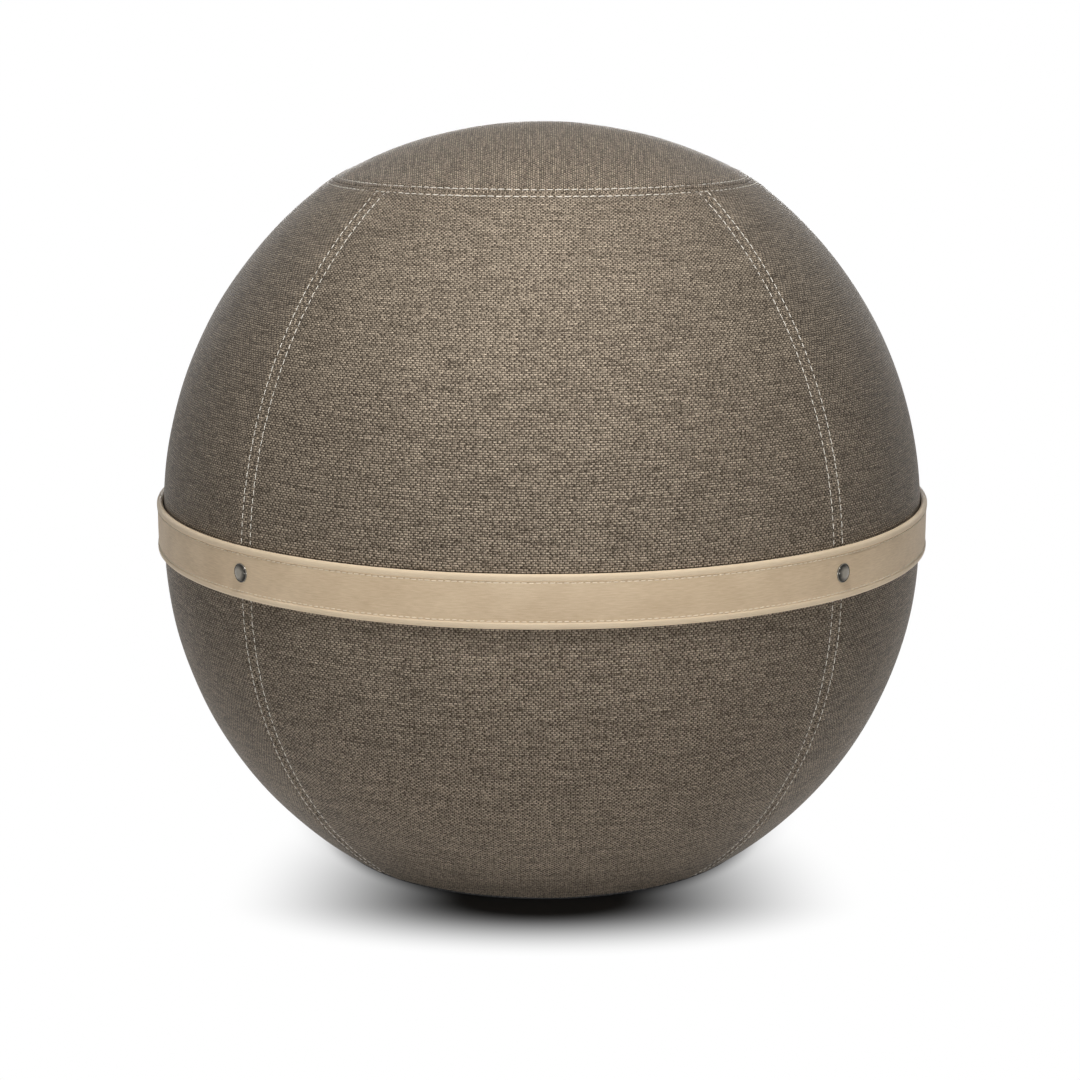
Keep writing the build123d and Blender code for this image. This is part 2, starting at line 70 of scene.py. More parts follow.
# Mouth of the zip: length of its taper, and the share by which its row is closer and its crease shallower
MOUTH_TAPER = 5 * MM
MOUTH_PULL = 0.35
# Mesh steps to a stitch, height of a thread to its width, and sides of a thread and of the round pieces
COVER_STEPS = 4
BELT_STEPS = 3
THREAD_FLATNESS = 0.75
THREAD_SIDES = 6
BASE_SIDES = 240
RIVET_SIDES = 48
FLOOR_SIDES = 96
# Belt: how far its edges waver, half the gap at its join, height over its face of the two kinds of row
EDGE_WAVE = 0.35 * MM
JOIN_GAP = 0.25 * MM
ROW_LIFT = 0.08 * MM
JOIN_LIFT = 0.2 * MM


def length(about, size):
    """A size in metres for a property group, given in millimetres."""
    return FloatProperty(description=about, default=size * MM, unit="LENGTH", precision=5)


def colour(about, shade):
    """A linear colour for a property group."""
    return FloatVectorProperty(description=about, default=shade, size=3, subtype="COLOR", min=0, max=1)


class BallCoverSizes(bpy.types.PropertyGroup):
    """Shape of the cover and of its seams"""

    ball_diameter: length("Widest diameter of the cloth", 550)
    base_diameter: length("Diameter of the flat base", 304.5)
    waist_height: length("Straight part under the belt", 17)
    shoulder_radius: length("Radius of the section above the waist", 295)
    top_seam_radius: length("Radius of the seam round the top panel", 149.4)
    crown_rise: length("Height of the top panel above its seam", 39.5)
    base_thickness: length("Thickness of the base panel", 2.5)
    crease_depth: length("How far a seam pulls the cloth in", 0.8)
    row_offset: length("Distance of a stitch row from a side seam", 4.5)
    ring_offset: length("Distance of a stitch row from the top seam", 3.9)
    stitch_pitch: length("Distance from stitch to stitch", 5.5)
    stitch_length: length("Length of thread that shows in one stitch", 4.6)
    thread_width: length("Width of the sewing thread", 0.62)


class BallBeltSizes(bpy.types.PropertyGroup):
    """Shape of the belt and its rivets"""

    height: length("Height of the belt over its rolled edges", 35.5)
    rise: length("Height of the belt's middle above the waist's", 6)
    inside_gap: length("Gap between cloth and belt", 0.3)
    front: length("Distance of the belt's face from the cloth", 4.0)
    roll_radius: length("Radius of the rolled edges", 2.15)
    row_offset: length("Distance of a stitch row from the belt's edge", 4.9)
    stitch_pitch: length("Distance from stitch to stitch", 4.4)
    stitch_length: length("Length of thread that shows in one stitch", 3.5)
    thread_width: length("Width of the sewing thread", 0.8)
    rivet_diameter: length("Diameter of a rivet's head", 13)
    rivet_height: length("Height of a rivet's dome", 2.9)


class BallZipSizes(bpy.types.PropertyGroup):
    """Shape of the zip's mouth and tapes"""

    length: length("Length of the rows of teeth", 198)
    belt_gap: length("Drop from the belt to the first tooth", 14)
    mouth_width: length("Width between the folded edges of the cloth", 12.6)
    stop_length: length("Length of a stop at an end of the teeth", 3.3)
    tape_depth: length("Depth of the tapes' middle under the cloth's face", 1.7)
    tape_inside: length("Distance of a tape's inner edge from the seam", 2.65)
    tape_width: length("Width of one tape", 12.4)
    tape_thickness: length("Thickness of one tape", 0.6)
    tape_overrun: length("Length of tape past each end of the teeth", 9)


class BallColours(bpy.types.PropertyGroup):
    """Colours of the cloth, belt, thread and fittings"""

    weft_light: colour("Palest yarn across the cloth", (0.62, 0.51, 0.388))
    weft_mid: colour("Darkest yarn across the cloth", (0.07, 0.0545, 0.0397))
    # The warp colour below is also painted shade in the gaps between the rows of weft
    warp_and_gap_shade: colour("Yarn up the cloth", (0.02, 0.0152, 0.0112))
    thread: colour("Sewing thread of the cover", (0.86, 0.81, 0.72))
    leather: colour("Face of the belt", (0.495, 0.367, 0.233))
    leather_pale: colour("Palest streaks on the belt", (0.655, 0.513, 0.35))
    leather_edge: colour("Rolled edges of the belt", (0.71, 0.59, 0.43))
    belt_thread: colour("Sewing thread of the belt", (0.85, 0.73, 0.56))
    # nickel is the bare metal of the rivets; gunmetal is the slider's and pull's colour and also the painted
    # shade band on the rivets
    nickel: colour("Rubbed metal of the rivets", (0.225, 0.207, 0.177))
    gunmetal: colour("Slider, pull and what is left dark on the rivets", (0.032, 0.03, 0.027))
    zip_tape: colour("Tapes of the zip", (0.10, 0.085, 0.07))
    zip_teeth: colour("Moulded teeth of the zip", (0.055, 0.048, 0.042))
    base: colour("Coated cloth of the base", (0.03, 0.03, 0.03))


# Shape of the ball


def ball_form(scene):
    """The ball's sizes and colours, and what follows from the sizes.

    The cover's half section is a lower arc, a straight waist, a shoulder arc and the crown's arc. The
    zip's ends lie along t, from their angles about the lower centre.
    """
    cover, belt, zipper = scene.ball_cover, scene.ball_belt, scene.ball_zip
    f = SimpleNamespace(cover=cover, belt=belt, zipper=zipper, colours=scene.ball_colours)
    f.ball = cover.ball_diameter / 2
    f.base = cover.base_diameter / 2
    f.centre = sqrt(f.ball**2 - f.base**2)
    f.shoulder = cover.shoulder_radius
    f.seam_radius = cover.top_seam_radius
    shoulder_axis = f.ball - f.shoulder
    rise = sqrt(f.shoulder**2 - (f.seam_radius - shoulder_axis) ** 2)
    seam_height = f.centre + cover.waist_height + rise
    f.crown = (f.seam_radius**2 + cover.crown_rise**2) / (2 * cover.crown_rise)
    f.crown_centre = seam_height + cover.crown_rise - f.crown
    f.crown_turn = asin(f.seam_radius / f.crown)
    f.lower_length = f.ball * asin(f.centre / f.ball)
    f.waist_length = cover.waist_height
    f.length = f.lower_length + f.waist_length + f.shoulder * asin(rise / f.shoulder)
    f.belt_middle = f.centre + f.waist_length / 2 + belt.rise
    belt_bottom = f.belt_middle - belt.height / 2
    f.zip_upper = f.lower_length - f.ball * asin((f.centre - belt_bottom + zipper.belt_gap) / f.ball)
    f.zip_lower = f.zip_upper - zipper.length
    return f


def section(f, t):
    """Radius, height and slope at t: arc about the lower centre, straight waist, arc about the shoulder."""
    below = np.minimum(t - f.lower_length, 0) / f.ball
    above = np.maximum(t - f.lower_length - f.waist_length, 0) / f.shoulder
    straight = np.clip(t - f.lower_length, 0, f.waist_length)
    radius = f.ball * np.cos(below) + f.shoulder * (np.cos(above) - 1)
    height = f.centre + f.ball * np.sin(below) + straight + f.shoulder * np.sin(above)
    return radius, height, below + above


def turned(radius, angle, height):
    """Points at a radius, an angle round the upright axis and a height."""
    parts = np.broadcast_arrays(radius * np.cos(angle), radius * np.sin(angle), height)
    return np.stack(parts, axis=-1)


def seam_angle(seam):
    """Angle of a side seam, counted from the one at the front right."""
    return FIRST_SEAM + QUARTER * seam


def ring(count):
    """Angles of points set evenly round a circle, as one row."""
    return np.linspace(0, 2 * pi, count, endpoint=False)[None, :]


def stitch_count(radius, pitch):
    """Whole stitches that go round a circle."""
    return int(2 * pi * radius / pitch)


def on_side(f, t, angle, out):
    """Points of the side at t and an angle, moved out along the cloth's normal."""
    radius, height, slope = section(f, t)
    return turned(radius + out * np.cos(slope), angle, height + out * np.sin(slope))


def on_crown(f, s, angle, out):
    """Points of the top panel at a distance s in from its seam, moved out along the cloth's normal."""
    lean = f.crown_turn - s / f.crown
    reach = f.crown + out
    return turned(reach * np.sin(lean), angle, f.crown_centre + reach * np.cos(lean))


def bump(x, place, width):
    """Bell of height 1 about a place."""
    return np.exp(-(((x - place) / width) ** 2))


def ramp(x, start, end):
    """Smooth step from 0 at start to 1 at end."""
    share = np.clip((x - start) / (end - start), 0, 1)
    return share * share * (3 - 2 * share)


def seam_relief(s, row, crease, holes=1.0):
    """Height of the cloth at a distance s from a seam.

    A crease at the seam, a low ridge beside it, a groove at the stitch row that is deepest at the
    needle holes, and a swell of the padding past the row.
    """
    fall = -crease * bump(s, 0, 0.65 * MM)
    ridge = 0.12 * MM * bump(s, row * 0.55, 1.2 * MM)
    groove = -0.3 * MM * holes * bump(s, row, 0.7 * MM)
    swell = 0.35 * MM * bump(s, row + 5.5 * MM, 4.2 * MM)
    return fall + ridge + groove + swell


def drift(a, b):
    """Slow unevenness of the stretched cloth: crossed waves, at most a fifth of a millimetre high."""
    waves = np.sin(61 * a + 1.3) * np.sin(47 * b + 0.4) + 0.6 * np.sin(103 * a - 83 * b)
    return 0.12 * MM * waves


def seam_steps():
    """Distances from a seam at which the cloth is sampled, closest where it bends most."""
    near = np.linspace(0, 6.0, 16)
    far = np.array([6.7, 7.6, 8.8, 10.3, 12.2, 14.5])
    return np.concatenate([near, far]) * MM


# Meshes


def grid_faces(rows, columns, closed=False):
    """Quads of a grid, counted along its rows, with each row closed on itself if asked."""
    i = np.arange(rows - 1)[:, None]
    j = np.arange(columns if closed else columns - 1)[None, :]
    j_next = (j + 1) % columns
    corners = [i * columns + j, i * columns + j_next, (i + 1) * columns + j_next, (i + 1) * columns + j]
    return np.stack(np.broadcast_arrays(*corners), axis=-1).reshape(-1, 4)


def fan_faces(edge, pole):
    """Triangles from a closed ring of points to one point."""
    return np.stack([edge, np.roll(edge, -1), np.full(len(edge), pole)], axis=-1)


def strip_faces(rows, columns, flip=False):
    """Faces of a closed profile carried along a strip and of its two flat ends, turned over if asked."""
    first = np.arange(columns)
    last = (rows - 1) * columns + first
    faces = [grid_faces(rows, columns, closed=True), first[None, ::-1], last[None]]
    return [group[:, ::-1] for group in faces] if flip else faces


def copied(faces, count, size):
    """Faces repeated for a number of copies with size points each."""
    shift = (np.arange(count) * size)[:, None, None]
    return [(group[None] + shift).reshape(-1, group.shape[1]) for group in faces]


def flat_grid(a, b):
    """Flat places of a grid from two rows, columns or grids."""
    return np.stack(np.broadcast_arrays(a, b), axis=-1)


def new_piece(name, points, faces, uv=None):
    """Smooth mesh object at the origin from points, lists of faces and a flat place for each point."""
    mesh = bpy.data.meshes.new(name)
    mesh.from_pydata(points.reshape(-1, 3), [], [face for group in faces for face in group.tolist()])
    if uv is not None:
        corners = np.empty(len(mesh.loops), dtype=np.int32)
        mesh.loops.foreach_get("vertex_index", corners)
        layer = mesh.uv_layers.new(name="cut")
        layer.data.foreach_set("uv", uv.reshape(-1, 2)[corners].astype(np.float32).ravel())
    mesh.polygons.foreach_set("use_smooth", np.ones(len(mesh.polygons), dtype=bool))
    mesh.update()
    piece = bpy.data.objects.new(name, mesh)
    bpy.context.scene.collection.objects.link(piece)
    return piece


def place_piece(piece, material, nodes=()):
    """Gives a piece its finish, its body and the nodes that it stands for."""
    piece.data.materials.append(material)
    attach(piece, BODY)
    if nodes:
        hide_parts(*nodes)


def belt_waves(turn):
    """Waver of the belt round its length, between -1 and 1: three sines of rising count."""
    return 0.5 * np.sin(3 * turn + 0.6) + 0.3 * np.sin(5 * turn + 2.0) + 0.2 * np.sin(11 * turn)


def mouth_share(f, t):
    """How far the zip's mouth is open at t: 1 along the teeth and stops, 0 past a short taper."""
    low = f.zip_lower - f.zipper.stop_length
    high = f.zip_upper + f.zipper.stop_length
    return ramp(t, low - MOUTH_TAPER, low) * (1 - ramp(t, high, high + MOUTH_TAPER))


def side_panel(name, seam, f):
    """One side panel: t up the section by distance across, with seam relief along its four edges.

    The columns keep their distance from the two side seams and share out the width between. The
    first and last columns and rows turn in, and the edge along the zip's mouth is set back.
    """
    steps = seam_steps()
    spacing = f.cover.stitch_pitch / COVER_STEPS
    rows = np.linspace(steps[-1], f.length - steps[-1], int((f.length - 2 * steps[-1]) / spacing))
    t = np.concatenate([[0], steps[:-1], rows, (f.length - steps[:-1])[::-1], [f.length]])[:, None]
    radius = section(f, t)[0]
    width = radius * QUARTER
    open_share = mouth_share(f, t)
    zip_at_start, zip_at_end = seam == ZIP_SEAM, seam + 1 == ZIP_SEAM
    start_edge = f.zipper.mouth_width / 2 * open_share * zip_at_start
    end_edge = f.zipper.mouth_width / 2 * open_share * zip_at_end
    share = np.linspace(0, 1, PANEL_COLUMNS)[None, 1:-1]
    left = start_edge + steps[None, :]
    right = width - end_edge - steps[None, ::-1]
    middle = left[:, -1:] + (right[:, :1] - left[:, -1:]) * share
    across = np.concatenate([left[:, :1], left, middle, right, right[:, -1:]], axis=1)
    holes = 1 - HOLE_SHARE * np.cos(2 * pi * t / f.cover.stitch_pitch)
    out = drift(across - width / 2, t + 0 * across)
    for distance, zipped in ((across - start_edge, zip_at_start), (width - end_edge - across, zip_at_end)):
        opened = open_share * zipped
        tight = 1 - MOUTH_PULL * opened
        out = out + seam_relief(distance, f.cover.row_offset * tight, f.cover.crease_depth * tight, holes)
        column = 0 if distance[0, 0] < distance[0, -1] else -1
        out[:, column] -= TURN_IN * (1 - opened[:, 0]) + 0.2 * MM
    out = out + seam_relief(f.length - t, f.cover.ring_offset, f.cover.crease_depth)
    base_crease = 0.9 * MM * bump(t, 0, 1.2 * MM)
    out = out - base_crease
    out[[0, -1]] -= TURN_IN
    points = on_side(f, t, seam_angle(seam) + across / radius, out)
    return new_piece(name, points, [grid_faces(*across.shape)], flat_grid(across - width / 2, t))


def top_panel(name, f):
    """Round top panel: rings from its seam to the axis, closed by a fan of triangles at the pole."""
    steps = seam_steps()
    rim = f.crown * f.crown_turn
    inner = np.linspace(steps[-1], rim - 1.5 * MM, 22)
    s = np.concatenate([[0], steps[:-1], inner])[:, None]
    count = COVER_STEPS * stitch_count(f.seam_radius, f.cover.stitch_pitch)
    angle = ring(count)
    flat_x = (rim - s) * np.cos(angle)
    flat_y = (rim - s) * np.sin(angle)
    holes = 1 + HOLE_SHARE * np.cos(2 * pi * (np.arange(count)[None, :] / COVER_STEPS))
    out = seam_relief(s, f.cover.ring_offset, f.cover.crease_depth, holes) + drift(flat_x, flat_y)
    out[0] -= TURN_IN
    points = on_crown(f, s, angle, out).reshape(-1, 3)
    pole = on_crown(f, np.array([rim]), np.array([0.0]), np.array([0.0]))
    last = (len(s) - 1) * count + np.arange(count)
    uv = np.concatenate([flat_grid(flat_y, flat_x).reshape(-1, 2), [[0, 0]]])
    faces = [grid_faces(len(s), count, closed=True), fan_faces(last, len(points))]
    return new_piece(name, np.concatenate([points, pole]), faces, uv)


def base_panel(name, f):
    """Flat base: rings from the sewn rim, round the turned edge, to a fan at the middle."""
    rim = sqrt(f.ball**2 - (f.centre - f.cover.base_thickness) ** 2)
    turn = np.linspace(0, 1, 8)
    edge_radius = rim - (rim - f.base + 1.5 * MM) * turn**1.6
    edge_height = f.cover.base_thickness * (1 - turn) ** 1.8
    inner = np.linspace(edge_radius[-1], 4 * MM, 24)[1:]
    radius = np.concatenate([[rim - 4 * MM, rim - 0.5 * MM], edge_radius, inner])[:, None]
    height = np.concatenate([[4 * MM, 2.6 * MM], edge_height, 0 * inner])[:, None]
    points = turned(radius, ring(BASE_SIDES), height).reshape(-1, 3)
    last = (len(radius) - 1) * BASE_SIDES + np.arange(BASE_SIDES)
    rings = grid_faces(len(radius), BASE_SIDES, closed=True)
    faces = [rings[:, ::-1], fan_faces(last, len(points))[:, ::-1]]
    uv = np.concatenate([points[:, :2], [[0, 0]]])
    return new_piece(name, np.concatenate([points, [[0, 0, 0]]]), faces, uv)


def stitches(name, rows, sewn, depth, seed):
    """Stitches laid in rows: each is a bowed six-sided thread that dips into the cloth at both ends.

    A row gives centres, directions along it and directions out of the cloth. depth is the most that a
    stitch is pulled in. Lean and place vary a little from stitch to stitch.
    """
    rng = np.random.default_rng(seed)
    centres, along, out = (np.concatenate(parts) for parts in zip(*rows))
    count = len(centres)
    along = along / np.linalg.norm(along, axis=1, keepdims=True)
    out = out - along * np.sum(along * out, axis=1, keepdims=True)
    out = out / np.linalg.norm(out, axis=1, keepdims=True)
    aside = np.cross(out, along)
    lean = rng.normal(0.05, 0.03, count)[:, None]
    along, aside = along + aside * lean, aside - along * lean
    centres = centres + aside * rng.normal(0, 0.07 * MM, count)[:, None]
    centres = centres - out * (depth * rng.random(count)[:, None])
    place = np.array([-1, -0.78, -0.3, 0.3, 0.78, 1])[:, None]
    girth = np.array([0.55, 0.9, 1, 1, 0.9, 0.55])[:, None]
    turn = ring(THREAD_SIDES) - pi / 2
    thick = THREAD_FLATNESS * sewn.thread_width
    x = place * sewn.stitch_length / 2 + 0 * turn
    y = girth * np.cos(turn) * sewn.thread_width / 2
    z = girth * np.sin(turn) * thick / 2 + thick * (0.25 - 0.95 * place**4)
    stretch = rng.normal(1, 0.04, count)[:, None, None]
    shape = np.stack([x, y, z], axis=-1).reshape(1, -1, 3)
    points = (
        centres[:, None, :]
        + shape[..., 0:1] * stretch * along[:, None, :]
        + shape[..., 1:2] * aside[:, None, :]
        + shape[..., 2:3] * out[:, None, :]
    )
    tube, *ends = strip_faces(len(place), THREAD_SIDES)
    faces = copied([tube, np.concatenate(ends)], count, shape.shape[1])
    uv = flat_grid(x, 0.11 * MM * turn).reshape(1, -1, 2) + rng.random((count, 1, 2))
    return new_piece(name, points, faces, uv)


def side_rows(f):
    """Twin rows beside each side seam, from the base to the top seam, without what the belt hides."""
    t = np.arange(0.5, int((f.length - f.cover.ring_offset) / f.cover.stitch_pitch)) * f.cover.stitch_pitch
    radius, height, slope = section(f, t)
    shown = np.abs(height - f.belt_middle) > f.belt.height / 2 - 1 * MM
    rows = []
    for seam in range(len(SIDES)):
        opened = mouth_share(f, t) * (seam == ZIP_SEAM)
        offset = f.zipper.mouth_width / 2 * opened + f.cover.row_offset * (1 - MOUTH_PULL * opened)
        for side in (-1, 1):
            turn = seam_angle(seam) + side * offset / radius
            points = on_side(f, t, turn, 0 * t)
            out = turned(np.cos(slope), turn, np.sin(slope))
            rows.append([part[shown] for part in (points, np.gradient(points, axis=0), out)])
    return rows


def ring_rows(f):
    """Twin rows round the top seam, one on the side panels and one on the top panel."""
    count = stitch_count(f.seam_radius, f.cover.stitch_pitch)
    angle = (np.arange(count) + 0.5) * 2 * pi / count
    place = f.length - f.cover.ring_offset
    below = on_side(f, place, angle, 0)
    above = on_crown(f, f.cover.ring_offset, angle, 0)
    slope = section(f, place)[2]
    lean = f.crown_turn - f.cover.ring_offset / f.crown
    along = turned(1, angle + QUARTER, 0)
    out_below = turned(np.cos(slope), angle, np.sin(slope))
    out_above = turned(np.sin(lean), angle, np.cos(lean))
    return [[below, along, out_below], [above, along, out_above]]


def belt_relief(f, q):
    """Distance of the belt's face from the cloth, q in from its edge.

    A rolled edge that sinks to the face, with a groove at the stitch row.
    """
    belt = f.belt
    inside = np.maximum(belt.roll_radius - q, 0)
    roll = belt.inside_gap + belt.roll_radius + np.sqrt(belt.roll_radius**2 - inside**2)
    drop = belt.inside_gap + 2 * belt.roll_radius - belt.front
    sink = drop * ramp(q, belt.row_offset - 1.3 * MM, belt.row_offset)
    groove = 0.4 * MM * bump(q, belt.row_offset - 0.2 * MM, 0.55 * MM)
    return roll - sink - groove


def belt_strip(name, f):
    """Belt: a closed profile with rolled edges carried round the waist from join to join.

    The strip waves a little, sinks round each rivet, and its two ends are closed flat.
    """
    belt = f.belt
    tip = np.linspace(pi, 1.8 * pi, 9)
    roll_out = belt.inside_gap + belt.roll_radius * (1 + np.cos(tip))
    roll_up = belt.roll_radius * (1 + np.sin(tip))
    q = np.concatenate([np.linspace(1.1, 6.2, 16), [7.5, 10.5, 14.0]]) * MM
    rise = np.concatenate([roll_up, q, [belt.height / 2], belt.height - q[::-1], belt.height - roll_up[::-1]])
    face = belt_relief(f, q)
    reach = np.concatenate([roll_out, face, [belt.front], face[::-1], roll_out[::-1]])
    steps = BELT_STEPS * stitch_count(f.ball + belt.front, belt.stitch_pitch) + 1
    gap = JOIN_GAP / f.ball
    turn = np.linspace(QUARTER + gap, QUARTER + 2 * pi - gap, steps)[:, None]
    waves = belt_waves(turn)
    up = rise[None, :] - belt.height / 2
    edge = np.minimum(rise, belt.height - rise)[None, :]
    outer = ramp(reach, belt.inside_gap + belt.roll_radius, belt.front)[None, :]
    holes = 1 - 0.8 * np.abs(np.sin(pi * np.arange(steps) / BELT_STEPS))[:, None]
    dents = -0.18 * MM * holes * bump(edge, belt.row_offset, 0.9 * MM)
    nearest = (turn - FIRST_SEAM + QUARTER / 2) % QUARTER - QUARTER / 2
    distance = np.hypot(nearest * f.ball, up)
    sink = -0.55 * MM * bump(distance, 0, 9 * MM)
    crown = 0.25 * MM * (1 - (2 * up / belt.height) ** 2)
    out = f.ball + reach[None, :] + outer * (dents + sink + crown + 0.12 * MM * waves)
    near_edge = np.abs(up) > belt.height / 2 - 6 * MM
    height = f.belt_middle + up + EDGE_WAVE * waves * near_edge
    faces = strip_faces(steps, len(rise), flip=True)
    return new_piece(name, turned(out, turn, height), faces, flat_grid(turn * f.ball, up))


def belt_rows(f):
    """Rows of stitches along both edges of the belt, and up beside its join."""
    reach = f.ball + f.belt.front
    count = stitch_count(reach, f.belt.stitch_pitch)
    turn = QUARTER + (np.arange(2, count - 2) + 0.5) * 2 * pi / count
    out = turned(1, turn, 0)
    along = turned(1, turn + QUARTER, 0)
    edge = f.belt.height / 2 - f.belt.row_offset - 0.45 * MM
    rows = []
    for side in (-1, 1):
        height = f.belt_middle + side * edge + EDGE_WAVE * belt_waves(turn)
        rows.append([(reach + ROW_LIFT) * out + np.array([0, 0, 1]) * height[:, None], along, out])
    rise = np.arange(-2, 3) * f.belt.stitch_pitch
    for side in (-1, 1):
        angle = QUARTER + side * 4.2 * MM / f.ball + 0 * rise
        out = turned(1, angle, 0)
        up = turned(0, angle, 1)
        rows.append([(reach + JOIN_LIFT) * out + up * (f.belt_middle + rise)[:, None], up, out])
    return rows


def domes(name, f):
    """Rivet heads: half an ellipse and a rolled rim, turned about four outward axes."""
    head = f.belt.rivet_diameter / 2
    rim = 0.5 * MM
    share = np.sin(np.linspace(0.04, 0.46, 16) * pi)
    dome_height = rim + (f.belt.rivet_height - rim) * np.sqrt(1 - share**2)
    rim_turn = np.linspace(0.8 * pi, -0.5 * pi, 10)
    rim_radius = head - rim + rim * np.cos(rim_turn)
    rim_height = rim + rim * np.sin(rim_turn)
    radius = np.concatenate([share * (head - 2 * rim), rim_radius, [head - 1.2 * MM]])[:, None]
    height = np.concatenate([dome_height, rim_height, [-1.2 * MM]])[:, None]
    local = turned(radius, ring(RIVET_SIDES), height).reshape(-1, 3)
    local = np.concatenate([local, [[0, 0, f.belt.rivet_height]]])
    seams = seam_angle(np.arange(len(SIDES)))
    out = turned(1, seams, 0)
    aside = turned(1, seams + QUARTER, 0)
    up = turned(0, seams, 1)
    seat = (f.ball + f.belt.front - 0.15 * MM) * out + np.array([0, 0, f.belt_middle])
    points = seat[:, None] + local[None, :, :1] * aside[:, None] + local[None, :, 1:2] * up[:, None]
    points = points + local[None, :, 2:] * out[:, None]
    rings = grid_faces(len(radius), RIVET_SIDES, closed=True)[:, ::-1]
    fan = fan_faces(np.arange(RIVET_SIDES), len(local) - 1)
    uv = np.tile(local[:, :2], (len(SIDES), 1))
    return new_piece(name, points, copied([rings, fan], len(SIDES), len(local)), uv)


def zip_tape(name, side, f):
    """One tape: a flat closed strip bent along the seam at its depth under the cloth."""
    t = np.linspace(f.zip_lower - f.zipper.tape_overrun, f.zip_upper + f.zipper.tape_overrun, 130)[:, None]
    edge = np.linspace(0, 1, 11)
    across = f.zipper.tape_inside + f.zipper.tape_width * np.concatenate([edge, edge[::-1]])[None, :]
    half = f.zipper.tape_thickness / 2 * np.sqrt(1 - np.abs(2 * edge - 1) ** 12)
    out = -f.zipper.tape_depth + np.concatenate([half, -half[::-1]])[None, :]
    turn = seam_angle(ZIP_SEAM) + side * across / section(f, t)[0]
    points = on_side(f, t, turn, out + 0 * t)
    faces = strip_faces(len(t), across.shape[1], flip=side < 0)
    return new_piece(name, points, faces, flat_grid(across, t))


# Finishes


class Net:
    """Small helper that adds nodes to a tree and links or sets their inputs by name."""

    def __init__(self, tree):
        self.tree = tree

    def add(self, kind, out=0, props=None, **inputs):
        """Adds a node and gives one of its outputs."""
        node = self.tree.nodes.new(kind)
        for key, value in (props or {}).items():
            setattr(node, key, value)
        self.feed(node, **inputs)
        return node.outputs[out]

    def feed(self, node, **inputs):
        """Links or sets inputs of a node, each named with _ for a space, or by i and its number."""
        for key, value in inputs.items():
            place = int(key[1:]) if key[1:].isdigit() else key.replace("_", " ")
            self.put(node.inputs[place], value)

    def put(self, socket, value):
        """Links a socket to another, or sets its constant."""
        if isinstance(value, bpy.types.NodeSocket):
            self.tree.links.new(value, socket)
        elif socket.type == "RGBA" and len(value) == 3:
            socket.default_value = (*value, 1)
        else:
            socket.default_value = value

    def math(self, operation, a, b=0.0):
        """One math node."""
        return self.add("ShaderNodeMath", props={"operation": operation}, i0=a, i1=b)

    def scale(self, value, factor, plus=0.0):
        """Value times a factor, plus another value."""
        return self.add("ShaderNodeMath", props={"operation": "MULTIPLY_ADD"}, i0=value, i1=factor, i2=plus)

    def vector(self, operation, a, b=(0, 0, 0), c=(0, 0, 0), out=0):
        """One vector math node."""
        return self.add("ShaderNodeVectorMath", out, {"operation": operation}, i0=a, i1=b, i2=c)

    def axis(self, vector, name):
        """One axis of a vector."""
        return self.add("ShaderNodeSeparateXYZ", name, Vector=vector)

    def place(self, kind):
        """The place that is coloured: UV is the piece's own flat place, Object the part's frame."""
        return self.add("ShaderNodeTexCoord", kind)

    def mix(self, share, a, b):
        """Mix of two colours."""
        return self.add("ShaderNodeMix", 2, {"data_type": "RGBA"}, i0=share, i6=a, i7=b)

    def noise(self, vector, scale, detail=2.0, out=0):
        """Noise texture value between 0 and 1."""
        return self.add("ShaderNodeTexNoise", out, Vector=vector, Scale=scale, Detail=detail)

    def stretched(self, vector, x, y, detail):
        """Noise with its own scale along each of two axes."""
        place = self.add("ShaderNodeMapping", props={"vector_type": "POINT"}, Vector=vector, Scale=(x, y, 1))
        return self.noise(place, 1.0, detail)

    def remap(self, value, low, high):
        """Value brought from a range to 0 to 1."""
        return self.add("ShaderNodeMapRange", Value=value, From_Min=low, From_Max=high)


def new_group(name, inputs, outputs):
    """Empty shader node group with named sockets; gives its net, its input sockets and its end node."""
    tree = bpy.data.node_groups.new(name, "ShaderNodeTree")
    for side, sockets in (("INPUT", inputs), ("OUTPUT", outputs)):
        for label, kind in sockets.items():
            tree.interface.new_socket(label, in_out=side, socket_type=f"NodeSocket{kind}")
    start = tree.nodes.new("NodeGroupInput")
    return Net(tree), [start.outputs[label] for label in inputs], tree.nodes.new("NodeGroupOutput")


